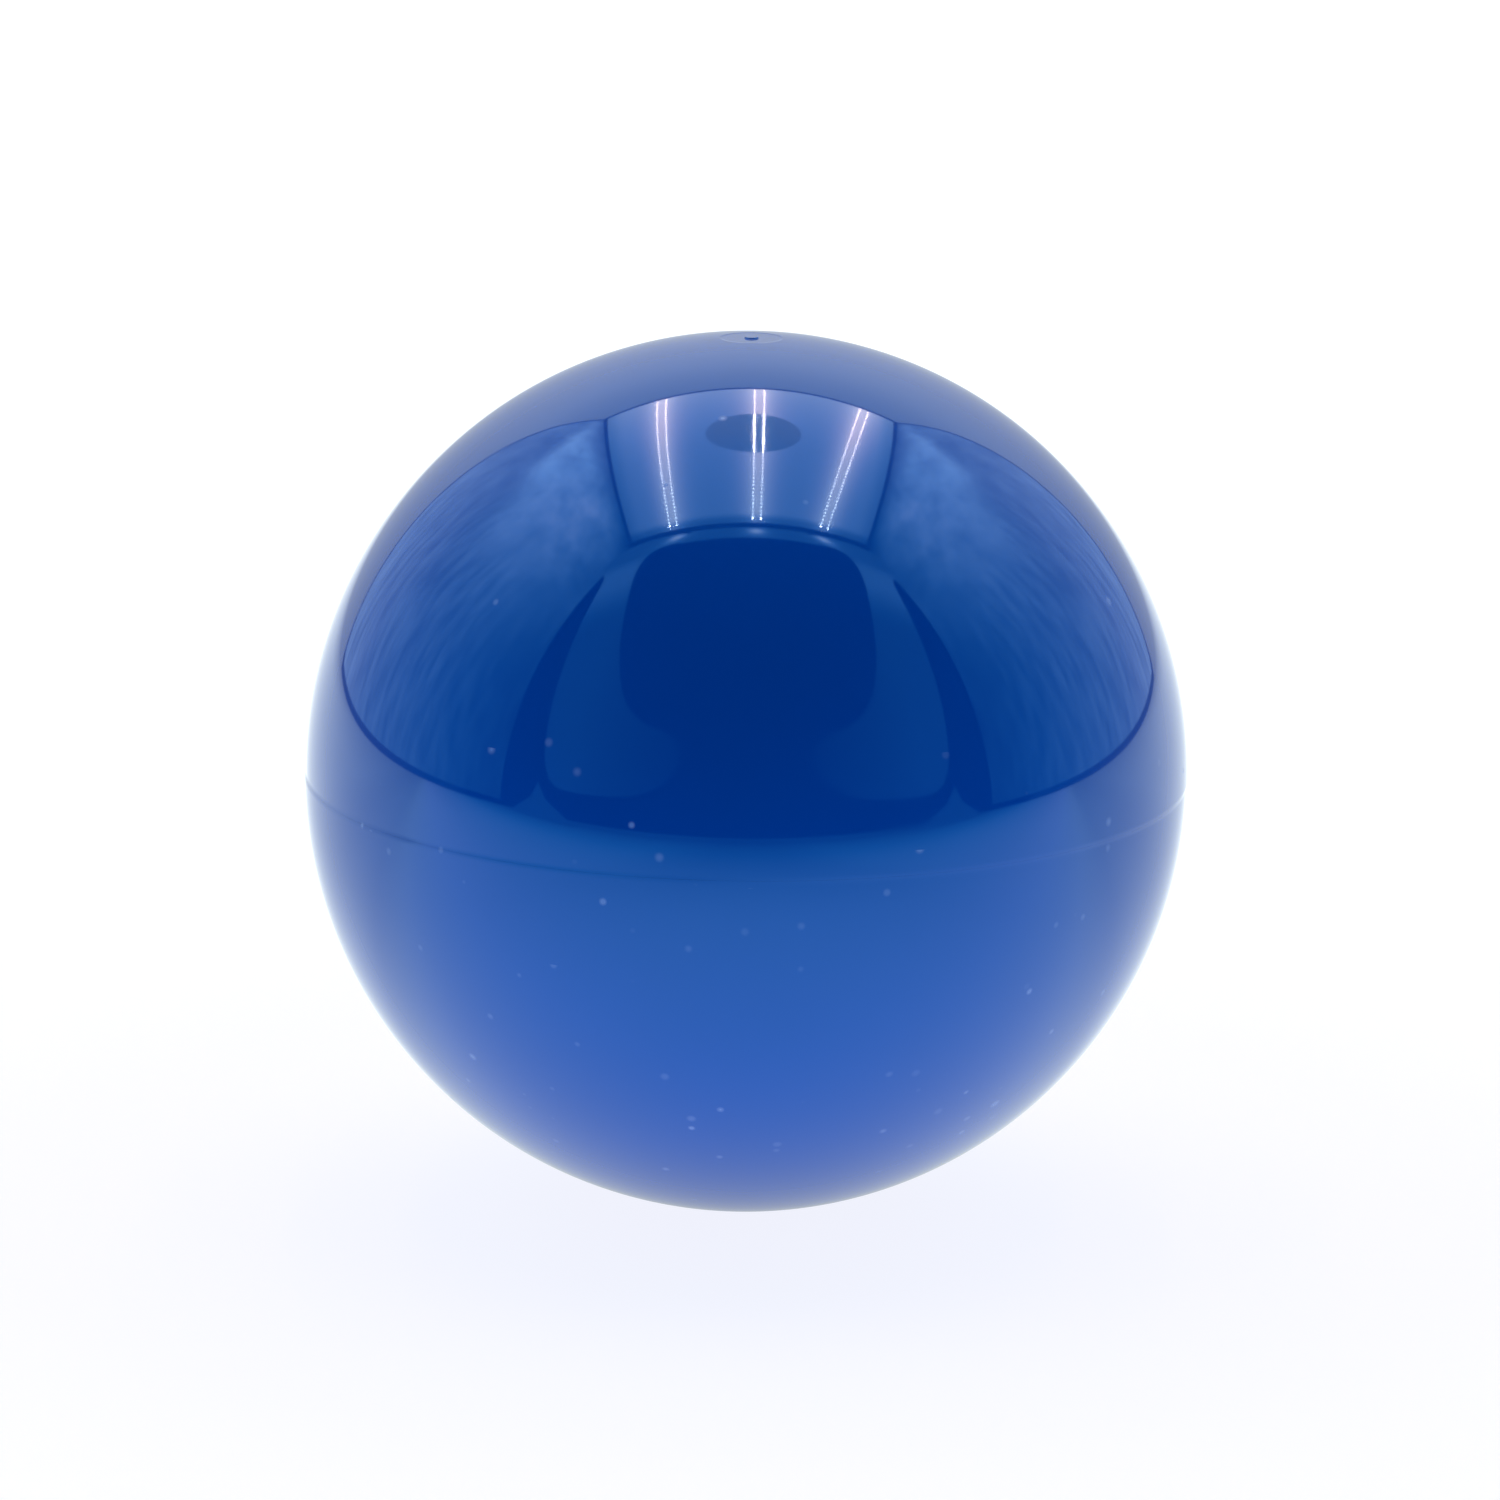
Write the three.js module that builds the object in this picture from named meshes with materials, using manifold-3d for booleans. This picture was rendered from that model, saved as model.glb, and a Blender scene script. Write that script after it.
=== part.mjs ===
// Croquet ball with a moulded two-piece shell and a filled core, in millimetres.
// The origin is the centre of the ball, and +Z runs through the gate mark of the upper half shell.
// Each half shell is a cup that was filled with core compound through its open rim. The two filled
// cups are bonded face to face, with a tongue and groove joint round the equator.

import * as THREE from "three";
import { mergeVertices } from "three/addons/utils/BufferGeometryUtils.js";
import Module from "manifold-3d";

// Driving dimensions
const BALL_DIAMETER = 92.08; // 3 5/8 in, the regulation size
const WALL = 6; // thickness of the shell
const GAP = 0.3; // clearance between neighbouring pieces, and the width of the seam
const GATE_LAND_RADIUS = 3; // flat recess round the gate at each pole
const GATE_LAND_DEPTH = 0.15; // below the pole of the full sphere
const GATE_NUB_BASE_RADIUS = 0.85; // the cut-off stub of the gate, level with the ball's surface
const GATE_NUB_TOP_RADIUS = 0.6;
const TONGUE_WIDTH = 2;
const TONGUE_HEIGHT = 3.8; // above the lower half shell's rim
const BEAD_HEIGHT = 0.9; // adhesive between the tongue and the roof of the groove
const FILM_THICKNESS = 0.6; // adhesive between the two core fills
const RIB_COUNT = 6; // ribs inside each half shell, which key it to its core fill
const RIB_THICKNESS = 2;
const RIB_DEPTH = 8; // from the shell's inner face towards the centre
const RIB_LOW_ANGLE = 10; // degrees above the equator
const RIB_HIGH_ANGLE = 76;

// Fineness of the faceted surfaces
const OUTER_SEGMENTS = 72; // round the polar axis
const OUTER_RINGS = 18; // from the equator to the gate land
const INNER_SEGMENTS = 36;
const INNER_RINGS = 18; // from pole to pole
const RIB_ARC_DIVISIONS = 5;

// Dimensions that follow from the ones above
const BALL_RADIUS = BALL_DIAMETER / 2;
const CAVITY_RADIUS = BALL_RADIUS - WALL;
const CORE_RADIUS = CAVITY_RADIUS - GAP;
const RIM_Z = GAP / 2; // each rim stands half a seam away from the equator
const CORE_FACE_Z = FILM_THICKNESS / 2 + GAP;
const JOINT_RADIUS = BALL_RADIUS - WALL / 2; // middle of the tongue and groove
const TONGUE_TOP_Z = TONGUE_HEIGHT - RIM_Z;
const BEAD_BOTTOM_Z = TONGUE_TOP_Z + GAP;
const GROOVE_ROOF_Z = BEAD_BOTTOM_Z + BEAD_HEIGHT + GAP;
const ROOT_DEPTH = WALL / 4; // how far a rib or the tongue is sunk into the wall that it stands on
const CUTTER_REACH = 2; // how far a cutting body runs past the face that it cuts
const BLOCK_SIZE = 2 * BALL_DIAMETER; // a block large enough to hold half of the ball

const wasm = await Module();
wasm.setup();

function solidOf(geometry) {
  const bare = geometry.clone();
  bare.deleteAttribute("normal");
  bare.deleteAttribute("uv");
  const merged = mergeVertices(bare);
  return new wasm.Manifold(
    new wasm.Mesh({
      numProp: 3,
      vertProperties: merged.attributes.position.array,
      triVerts: new Uint32Array(merged.index.array),
    }),
  );
}

function geometryOf(solid) {
  const mesh = solid.getMesh();
  const geometry = new THREE.BufferGeometry();
  geometry.setAttribute("position", new THREE.BufferAttribute(mesh.vertProperties, 3));
  geometry.setIndex(new THREE.BufferAttribute(mesh.triVerts, 1));
  geometry.computeVertexNormals();
  return geometry;
}

// A body of revolution about Z. The profile holds [radius, z] points, from the lowest to the highest.
function revolve(profile, segments) {
  const points = profile.map(([radius, z]) => new THREE.Vector2(radius, z));
  return new THREE.LatheGeometry(points, segments).rotateX(Math.PI / 2);
}

// A ring of rectangular section about Z.
function ring(middleRadius, width, bottomZ, topZ) {
  const inner = middleRadius - width / 2;
  const outer = middleRadius + width / 2;
  const section = [[inner, bottomZ], [outer, bottomZ], [outer, topZ], [inner, topZ], [inner, bottomZ]];
  return revolve(section, OUTER_SEGMENTS);
}

function ball(radius) {
  return new THREE.SphereGeometry(radius, INNER_SEGMENTS, INNER_RINGS).rotateX(Math.PI / 2);
}

// The upper half of the ball's outer form, solid: a spherical surface from the rim to the flat gate
// land at the pole, and the gate's nub standing in the middle of the land.
function outerForm() {
  const rimAngle = Math.asin(RIM_Z / BALL_RADIUS);
  const landAngle = Math.acos(GATE_LAND_RADIUS / BALL_RADIUS);
  const landZ = BALL_RADIUS - GATE_LAND_DEPTH;
  const profile = [[0, RIM_Z]];
  for (let i = 0; i <= OUTER_RINGS; i++) {
    const angle = THREE.MathUtils.lerp(rimAngle, landAngle, i / OUTER_RINGS);
    profile.push([BALL_RADIUS * Math.cos(angle), BALL_RADIUS * Math.sin(angle)]);
  }
  profile.push([GATE_LAND_RADIUS, landZ]);
  profile.push([GATE_NUB_BASE_RADIUS, landZ]);
  profile.push([GATE_NUB_TOP_RADIUS, BALL_RADIUS]);
  profile.push([0, BALL_RADIUS]);
  return revolve(profile, OUTER_SEGMENTS);
}

// One curved fin in the XZ plane, between the rib's inner edge and a root inside the shell's wall.
// The margin makes it larger all round, for the slot that the fin leaves in the core fill.
function ribForm(margin) {
  const outerRadius = CAVITY_RADIUS + ROOT_DEPTH;
  const innerRadius = CAVITY_RADIUS - RIB_DEPTH - margin;
  const marginAngle = margin / innerRadius;
  const low = THREE.MathUtils.degToRad(RIB_LOW_ANGLE) - marginAngle;
  const high = THREE.MathUtils.degToRad(RIB_HIGH_ANGLE) + marginAngle;
  const thickness = RIB_THICKNESS + 2 * margin;
  const outline = new THREE.Shape();
  outline.absarc(0, 0, outerRadius, low, high, false);
  outline.absarc(0, 0, innerRadius, high, low, true);
  const fin = new THREE.ExtrudeGeometry(outline, {
    depth: thickness,
    bevelEnabled: false,
    curveSegments: RIB_ARC_DIVISIONS,
  });
  return fin.translate(0, 0, -thickness / 2).rotateX(Math.PI / 2);
}

function ribForms(margin) {
  const forms = [];
  for (let i = 0; i < RIB_COUNT; i++) {
    forms.push(ribForm(margin).rotateZ((i * 2 * Math.PI) / RIB_COUNT));
  }
  return forms;
}

// A cup with its rim at RIM_Z and its pole at +Z, open downwards, with ribs on its inner face.
function cup() {
  let solid = solidOf(outerForm()).subtract(solidOf(ball(CAVITY_RADIUS)));
  for (const rib of ribForms(0)) {
    solid = solid.add(solidOf(rib));
  }
  return solid;
}

function upperHalfShell() {
  const height = GROOVE_ROOF_Z + CUTTER_REACH;
  const groove = ring(JOINT_RADIUS, TONGUE_WIDTH + 2 * GAP, GROOVE_ROOF_Z - height, GROOVE_ROOF_Z);
  return geometryOf(cup().subtract(solidOf(groove)));
}

// Made with its pole at +Z, as the upper half shell is, so its tongue points down from its rim.
function lowerHalfShell() {
  const tongue = ring(JOINT_RADIUS, TONGUE_WIDTH, -TONGUE_TOP_Z, RIM_Z + ROOT_DEPTH);
  return geometryOf(cup().add(solidOf(tongue)));
}

// Half of the core, with its flat face down and a slot for each rib.
function coreFill() {
  const block = new THREE.BoxGeometry(BLOCK_SIZE, BLOCK_SIZE, BLOCK_SIZE);
  block.translate(0, 0, CORE_FACE_Z + BLOCK_SIZE / 2);
  let solid = solidOf(ball(CORE_RADIUS)).intersect(solidOf(block));
  for (const slot of ribForms(GAP)) {
    solid = solid.subtract(solidOf(slot));
  }
  return geometryOf(solid);
}

// A flat disc between the two core fills.
function adhesiveFilm() {
  const half = FILM_THICKNESS / 2;
  return revolve([[0, -half], [CORE_RADIUS, -half], [CORE_RADIUS, half], [0, half]], INNER_SEGMENTS);
}

// The adhesive that was squeezed up between the tongue and the roof of the groove.
function adhesiveBead() {
  return ring(JOINT_RADIUS, TONGUE_WIDTH, BEAD_BOTTOM_Z, BEAD_BOTTOM_Z + BEAD_HEIGHT);
}

const shellPlastic = new THREE.MeshStandardMaterial({
  color: 0x0a3f9c,
  roughness: 0.12,
  metalness: 0,
  flatShading: true,
});
const coreCompound = new THREE.MeshStandardMaterial({
  color: 0x8a6a48,
  roughness: 0.9,
  metalness: 0,
  flatShading: true,
});
const bondingAdhesive = new THREE.MeshStandardMaterial({
  color: 0xcfb47a,
  roughness: 0.35,
  metalness: 0,
  flatShading: true,
});

function piece(name, geometry, material) {
  const mesh = new THREE.Mesh(geometry, material);
  mesh.name = name;
  return mesh;
}

const upperHalf = new THREE.Group();
upperHalf.add(piece("upper_half_shell", upperHalfShell(), shellPlastic));
upperHalf.add(piece("upper_core_fill", coreFill(), coreCompound));

const lowerHalf = new THREE.Group();
lowerHalf.add(piece("lower_half_shell", lowerHalfShell(), shellPlastic));
lowerHalf.add(piece("lower_core_fill", coreFill(), coreCompound));
lowerHalf.rotation.x = Math.PI;

const bond = new THREE.Group();
bond.add(piece("core_adhesive_film", adhesiveFilm(), bondingAdhesive));
bond.add(piece("rim_adhesive_bead", adhesiveBead(), bondingAdhesive));

const croquetBall = new THREE.Group();
croquetBall.add(upperHalf, lowerHalf, bond);

export default croquetBall;
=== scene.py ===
"""A blue croquet ball, in metres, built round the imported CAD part.

The two half shells meet at z = 0 in a fine seam, and each has a recessed gate mark at its pole. Inside
are the two core fills and the adhesive that bonds them. The stage is a white floor in a light tent: its
panels light the ball and are mirrored in it, but the camera doesn't see them.
"""

import math
from typing import NamedTuple

import bmesh
import bpy
from mathutils import Euler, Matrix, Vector


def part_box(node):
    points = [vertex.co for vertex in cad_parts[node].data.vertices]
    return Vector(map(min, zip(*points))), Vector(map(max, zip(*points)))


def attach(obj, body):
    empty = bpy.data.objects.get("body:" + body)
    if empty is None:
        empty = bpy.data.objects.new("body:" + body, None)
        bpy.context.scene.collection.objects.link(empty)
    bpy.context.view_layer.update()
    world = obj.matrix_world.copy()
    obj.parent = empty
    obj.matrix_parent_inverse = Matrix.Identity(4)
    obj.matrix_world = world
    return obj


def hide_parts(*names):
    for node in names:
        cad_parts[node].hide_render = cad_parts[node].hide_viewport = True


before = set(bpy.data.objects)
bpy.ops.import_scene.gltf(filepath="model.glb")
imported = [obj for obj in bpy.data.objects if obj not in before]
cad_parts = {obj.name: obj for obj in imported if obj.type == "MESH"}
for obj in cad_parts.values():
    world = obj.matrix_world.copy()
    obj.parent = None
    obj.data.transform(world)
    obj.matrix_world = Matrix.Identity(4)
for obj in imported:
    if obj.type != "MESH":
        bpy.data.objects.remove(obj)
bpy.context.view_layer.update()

MM = 0.001

# The ball, from the frame
BALL_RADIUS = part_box("upper_half_shell")[1].z
BEAD_LOW, BEAD_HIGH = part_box("rim_adhesive_bead")
FILM_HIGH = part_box("core_adhesive_film")[1]
CORE_LOW, CORE_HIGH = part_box("upper_core_fill")
TONGUE_TOP_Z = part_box("lower_half_shell")[1].z

# Driving dimensions that the boxes don't show
WALL = 6 * MM
CLEARANCE = 0.3 * MM
TONGUE_WIDTH = 2 * MM
GATE_LAND_RADIUS = 3 * MM
GATE_LAND_DEPTH = 0.15 * MM
GATE_NUB_RADIUS = 0.8 * MM
GATE_NUB_TOP_RADIUS = 0.66 * MM
GATE_WALL = 0.3 * MM  # the width of the slope round the land
NUB_RING_INSET = 0.1  # of the nub's radius: a ring on each side of its wall keeps the shading flat
LAND_RING_INSET = 0.05  # of the land's radius: the same at the land's edge
ROOT_DEPTH = WALL / 4  # how far a rib is sunk into the wall
RIB_COUNT = 6
RIB_THICKNESS = 2 * MM
RIB_DEPTH = 8 * MM
RIB_LOW_ANGLE = math.radians(10)
RIB_HIGH_ANGLE = math.radians(76)

# Fine surface features
RIM_Z = 0.004 * MM  # from the equator to each rim, so the seam looks closed but the shells don't touch
MISMATCH = 0.055 * MM  # how far each shell sits to one side, the upper towards +X and the lower -X
BUFFED_WIDTH = 0.46 * MM  # on each side of the seam, where buffing has blended that offset away
CHAMFER = 0.25 * MM
BEAD_ROUNDING = 0.8  # of half the bead's height
SHARP_ANGLE = math.radians(40)

# Fineness of the meshes
SEGMENTS = 192
ARC_STEPS = 96
CAVITY_STEPS = 32
FILLET_STEPS = 6
BUFFED_STEPS = 8
CORNER_STEPS = 4
ARC_EASING = 0.97  # 0 gives even steps, and 1 would make the ones at both ends vanish

CAVITY_RADIUS = BALL_RADIUS - WALL
JOINT_RADIUS = BALL_RADIUS - WALL / 2
GROOVE_ROOF_Z = BEAD_HIGH.z + CLEARANCE
RIB_INNER_RADIUS = CAVITY_RADIUS - RIB_DEPTH


# ---------------------------------------------------------------- meshes


def link_mesh(name, mesh):
    """A new object in the scene that shows the mesh."""
    piece = bpy.data.objects.new(name, mesh)
    bpy.context.scene.collection.objects.link(piece)
    return piece


def revolve(name, outline, closed=False):
    """A solid of revolution about Z. The outline is (radius, z) points, from axis to axis or closed."""
    build = bmesh.new()
    rings = []
    for radius, z in outline:
        if radius <= 0:
            rings.append([build.verts.new((0, 0, z))])
            continue
        turns = (2 * math.pi * i / SEGMENTS for i in range(SEGMENTS))
        rings.append([build.verts.new((radius * math.cos(t), radius * math.sin(t), z)) for t in turns])
    pairs = list(zip(rings, rings[1:]))
    if closed:
        pairs.append((rings[-1], rings[0]))
    for low, high in pairs:
        for i in range(SEGMENTS):
            j = (i + 1) % SEGMENTS
            corners = [low[i % len(low)], low[j % len(low)], high[j % len(high)], high[i % len(high)]]
            build.faces.new(list(dict.fromkeys(corners)))
    bmesh.ops.recalc_face_normals(build, faces=build.faces)
    mesh = bpy.data.meshes.new(name)
    build.to_mesh(mesh)
    build.free()
    return link_mesh(name, mesh)


def arc(radius, low, high, steps):
    """Points on an arc round the centre of the ball, with angles from the equator."""
    angles = (low + (high - low) * i / steps for i in range(steps + 1))
    return [(radius * math.cos(a), radius * math.sin(a)) for a in angles]


def eased_arc(radius, low, high, steps):
    """An arc whose steps grow from very short ones at both ends, so that smooth shading stays true."""
    points = []
    for i in range(steps + 1):
        t = i / steps
        angle = low + (high - low) * (t - ARC_EASING * math.sin(2 * math.pi * t) / (2 * math.pi))
        points.append((radius * math.cos(angle), radius * math.sin(angle)))
    return points


def eased_step(start, end, steps):
    """An S-shaped step from one (radius, z) point to another, level at both ends."""
    points = []
    for i in range(steps + 1):
        t = i / steps
        rise = t * t * (3 - 2 * t)
        points.append((start[0] + (end[0] - start[0]) * t, start[1] + (end[1] - start[1]) * rise))
    return points


def sphere_z(radius):
    """The height of the ball's surface at a distance from its axis, and the other way round."""
    return math.sqrt(BALL_RADIUS**2 - radius**2)


def fins(name, margin, side):
    """The ribs of one half shell, as separate closed fins. The margin makes them larger all round."""
    outer = CAVITY_RADIUS + ROOT_DEPTH
    inner = RIB_INNER_RADIUS - margin
    low = RIB_LOW_ANGLE - margin / inner
    high = RIB_HIGH_ANGLE + margin / inner
    steps = CAVITY_STEPS // 2
    outline = arc(outer, low, high, steps) + arc(inner, high, low, steps)
    half = RIB_THICKNESS / 2 + margin
    build = bmesh.new()
    for i in range(RIB_COUNT):
        turn = 2 * math.pi * i / RIB_COUNT
        along = Vector((math.cos(turn), math.sin(turn), 0))
        across = Vector((-math.sin(turn), math.cos(turn), 0))
        up = Vector((0, 0, side))
        near, far = (
            [build.verts.new(along * r + up * z + across * offset) for r, z in outline]
            for offset in (-half, half)
        )
        build.faces.new(near)
        build.faces.new(far)
        for j in range(len(outline)):
            k = (j + 1) % len(outline)
            build.faces.new([near[j], near[k], far[k], far[j]])
    bmesh.ops.recalc_face_normals(build, faces=build.faces)
    mesh = bpy.data.meshes.new(name)
    build.to_mesh(mesh)
    build.free()
    return link_mesh(name, mesh)


def combine(piece, tool, operation):
    """Joins the tool to the piece, or cuts it out of it, and removes the tool."""
    step = piece.modifiers.new("combine", "BOOLEAN")
    step.operation = operation
    step.solver = "EXACT"
    step.object = tool
    graph = bpy.context.evaluated_depsgraph_get()
    mesh = bpy.data.meshes.new_from_object(piece.evaluated_get(graph))
    piece.modifiers.remove(step)
    piece.data = mesh
    bpy.data.objects.remove(tool)


def finish_piece(piece, material, slot, *nodes):
    """Smooth shading with crisp corners, the material, and the piece's place in the frame."""
    piece.data.shade_smooth()
    piece.data.set_sharp_from_angle(angle=SHARP_ANGLE)
    piece.data.materials.clear()
    piece.data.materials.append(material)
    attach(piece, "root")
    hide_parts(*nodes)


# ---------------------------------------------------------------- the half shells


def outer_outline():
    """From the pole to the rim: the gate nub, the flat land round it and the sphere."""
    land_z = BALL_RADIUS - GATE_LAND_DEPTH
    slope_radius = GATE_LAND_RADIUS + GATE_WALL
    nub_top = (GATE_NUB_TOP_RADIUS, BALL_RADIUS)
    nub_foot = (GATE_NUB_RADIUS, land_z)
    slope_foot = (GATE_LAND_RADIUS, land_z)
    slope_top = (slope_radius, sphere_z(slope_radius))
    points = [(0, BALL_RADIUS), (GATE_NUB_TOP_RADIUS * (1 - NUB_RING_INSET), BALL_RADIUS)]
    points += eased_step(nub_top, nub_foot, FILLET_STEPS)
    points.append((GATE_NUB_RADIUS * (1 + NUB_RING_INSET), land_z))
    points.append((GATE_LAND_RADIUS * (1 - LAND_RING_INSET), land_z))
    points += eased_step(slope_foot, slope_top, FILLET_STEPS)[:-1]
    slope_angle = math.acos(slope_radius / BALL_RADIUS)
    buffed_angle = math.asin(BUFFED_WIDTH / BALL_RADIUS)
    points += eased_arc(BALL_RADIUS, slope_angle, buffed_angle, ARC_STEPS)
    for i in range(1, BUFFED_STEPS + 1):
        z = BUFFED_WIDTH + (RIM_Z - BUFFED_WIDTH) * i / BUFFED_STEPS
        points.append((sphere_z(z), z))
    return points


def groove_outline():
    """The upper rim's groove, from the outside in."""
    outer = JOINT_RADIUS + TONGUE_WIDTH / 2 + CLEARANCE
    inner = JOINT_RADIUS - TONGUE_WIDTH / 2 - CLEARANCE
    return [
        (outer + CHAMFER, RIM_Z),
        (outer, RIM_Z + CHAMFER),
        (outer, GROOVE_ROOF_Z),
        (inner, GROOVE_ROOF_Z),
        (inner, RIM_Z + CHAMFER),
        (inner - CHAMFER, RIM_Z),
    ]


def tongue_outline():
    """The lower rim's tongue, from the outside in. It stands past the rim, into the upper shell."""
    outer = JOINT_RADIUS + TONGUE_WIDTH / 2
    inner = JOINT_RADIUS - TONGUE_WIDTH / 2
    return [
        (outer, RIM_Z),
        (outer, -TONGUE_TOP_Z + CHAMFER),
        (outer - CHAMFER, -TONGUE_TOP_Z),
        (inner + CHAMFER, -TONGUE_TOP_Z),
        (inner, -TONGUE_TOP_Z + CHAMFER),
        (inner, RIM_Z),
    ]


def half_shell(name, side, joint, material):
    """One moulded cup with its ribs. side is 1 for the upper shell and -1 for the lower one."""
    cavity_low = math.asin(RIM_Z / CAVITY_RADIUS)
    outline = outer_outline() + joint + arc(CAVITY_RADIUS, cavity_low, math.pi / 2, CAVITY_STEPS)
    outline[-1] = (0, CAVITY_RADIUS)
    shell = revolve(name + "_moulding", [(r, side * z) for r, z in outline])
    combine(shell, fins("ribs", 0, side), "UNION")
    offset_shell(shell, side * MISMATCH)
    finish_piece(shell, material, "shell_plastic", name)


def offset_shell(shell, distance):
    """Moves a half shell sideways, apart from its rim, which was buffed flush with the other's."""
    for vertex in shell.data.vertices:
        share = min(1, abs(vertex.co.z) / BUFFED_WIDTH)
        vertex.co.x += distance * math.sin(share * math.pi / 2)


# ---------------------------------------------------------------- what the shells hold


def core_half(name, side, material):
    """The compound cast into one half shell, with a slot for each rib and a chamfered flat face."""
    radius = CAVITY_RADIUS - CLEARANCE
    low = math.asin((CORE_LOW.z + CHAMFER) / radius)
    face_radius = math.sqrt(radius**2 - CORE_LOW.z**2) - CHAMFER
    outline = [(0, CORE_LOW.z), (face_radius, CORE_LOW.z)]
    outline += arc(radius, low, math.pi / 2, CAVITY_STEPS)
    outline[-1] = (0, CORE_HIGH.z)
    core = revolve(name + "_casting", [(r, side * z) for r, z in outline])
    combine(core, fins("slots", CLEARANCE, side), "DIFFERENCE")
    finish_piece(core, material, "core_compound", name)


def rounded_section(low, high, bottom, top):
    """A rectangular section with its four corners rounded."""
    radius = min(high - low, top - bottom) / 2 * BEAD_ROUNDING
    centres = [(high - radius, bottom + radius), (high - radius, top - radius)]
    centres += [(low + radius, top - radius), (low + radius, bottom + radius)]
    points = []
    for quarter, (r, z) in enumerate(centres):
        for i in range(CORNER_STEPS + 1):
            turn = math.pi / 2 * (quarter - 1 + i / CORNER_STEPS)
            points.append((r + radius * math.cos(turn), z + radius * math.sin(turn)))
    return points


def adhesive_film(material):
    """The disc of adhesive between the two core fills, with a rounded edge."""
    half = FILM_HIGH.z
    edge = FILM_HIGH.x - half
    outline = [(0, -half)]
    for i in range(2 * FILLET_STEPS + 1):
        turn = math.pi * (i / (2 * FILLET_STEPS) - 0.5)
        outline.append((edge + half * math.cos(turn), half * math.sin(turn)))
    outline.append((0, half))
    film = revolve("core_adhesive_disc", outline)
    finish_piece(film, material, "bonding_adhesive", "core_adhesive_film")


def adhesive_bead(material):
    """The adhesive squeezed into the top of the groove."""
    low = JOINT_RADIUS - TONGUE_WIDTH / 2
    high = JOINT_RADIUS + TONGUE_WIDTH / 2
    outline = rounded_section(low, high, BEAD_LOW.z, BEAD_HIGH.z)
    bead = revolve("rim_adhesive_ring", outline, closed=True)
    finish_piece(bead, material, "bonding_adhesive", "rim_adhesive_bead")


# ---------------------------------------------------------------- materials


class Ramp(NamedTuple):
    """A value that is low up to the start and high from the end on, with an even or smooth change."""

    start: float
    end: float
    low: float = 0.0
    high: float = 1.0
    smooth: bool = False


class Nodes:
    """A short way to write a node tree."""

    def __init__(self, name):
        self.material = bpy.data.materials.new(name)
        self.material.use_nodes = True
        self.tree = self.material.node_tree
        self.tree.nodes.clear()
        self.output = self.tree.nodes.new("ShaderNodeOutputMaterial")

    def add(self, kind, inputs=None, **settings):
        """Adds a node. An input's value is a plain value, or an output socket to link it to."""
        node = self.tree.nodes.new("ShaderNode" + kind)
        for key, value in settings.items():
            setattr(node, key, value)
        for key, value in (inputs or {}).items():
            self.set(node.inputs[key], value)
        return node

    def set(self, socket, value):
        if isinstance(value, bpy.types.NodeSocket):
            self.tree.links.new(value, socket)
        else:
            socket.default_value = value

    def position(self):
        """The point on the piece, in metres."""
        return self.add("TexCoord").outputs["Object"]

    def noise(self, scale, detail=2.0, roughness=0.5, vector=None):
        """Noise from 0 to 1, with scale cells to the metre, or to the given vector's unit."""
        inputs = {"Scale": scale, "Detail": detail, "Roughness": roughness}
        inputs["Vector"] = vector or self.position()
        return self.add("TexNoise", inputs).outputs["Fac"]

    def ramp(self, value, ramp):
        """The ramp's value at the given place on it."""
        inputs = {"Value": value, "From Min": ramp.start, "From Max": ramp.end}
        inputs.update({"To Min": ramp.low, "To Max": ramp.high})
        kind = "SMOOTHSTEP" if ramp.smooth else "LINEAR"
        return self.add("MapRange", inputs, interpolation_type=kind, clamp=True).outputs["Result"]

    def math(self, operation, a, b=0.0):
        return self.add("Math", {0: a, 1: b}, operation=operation).outputs[0]

    def product(self, first, *others):
        for other in others:
            first = self.math("MULTIPLY", first, other)
        return first

    def distance(self, a, b):
        """How far apart two values are."""
        return self.math("ABSOLUTE", self.math("SUBTRACT", a, b))

    def squares(self, *values):
        """The sum of the values' squares."""
        total = 0.0
        for value in values:
            total = self.math("ADD", total, self.math("POWER", value, 2))
        return total

    def mix(self, factor, a, b):
        """A colour between a and b."""
        node = self.add("Mix", data_type="RGBA")
        self.set(node.inputs["Factor"], factor)
        self.set(node.inputs[6], a)
        self.set(node.inputs[7], b)
        return node.outputs[2]

    def bump(self, height, distance, strength):
        return self.add("Bump", {"Height": height, "Distance": distance, "Strength": strength}).outputs[0]

    def show(self, shader):
        """Makes the shader the material's surface."""
        self.set(self.output.inputs["Surface"], shader.outputs[0])
        return self.material

    def surface(self, **inputs):
        """The Principled shader, with spaces in its input names written as underscores."""
        return self.show(self.add("BsdfPrincipled", {k.replace("_", " "): v for k, v in inputs.items()}))


SPECK_SHAPE = Ramp(0.3, 1.0, 1.0, 0.0, smooth=True)  # from a speck's middle to its edge
SMALLEST_SPECK = 0.6  # of the largest
SPECK_STRENGTH = Ramp(0, 1, 0.15, 1.0)


def specks(nodes, spacing, radius, share):
    """Up to 1 inside scattered round specks, and 0 outside. share is the part of the cells with one."""
    inputs = {"Vector": nodes.position(), "Scale": 1 / spacing, "Randomness": 1.0}
    cells = nodes.add("TexVoronoi", inputs).outputs
    chance = nodes.add("SeparateColor", {"Color": cells["Color"]}).outputs
    held = nodes.math("LESS_THAN", chance[0], share)
    largest = radius / spacing
    size = nodes.ramp(chance[1], Ramp(0, 1, SMALLEST_SPECK * largest, largest))
    shape = nodes.ramp(nodes.math("DIVIDE", cells["Distance"], size), SPECK_SHAPE)
    return nodes.product(held, shape, nodes.ramp(chance[2], SPECK_STRENGTH))


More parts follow.
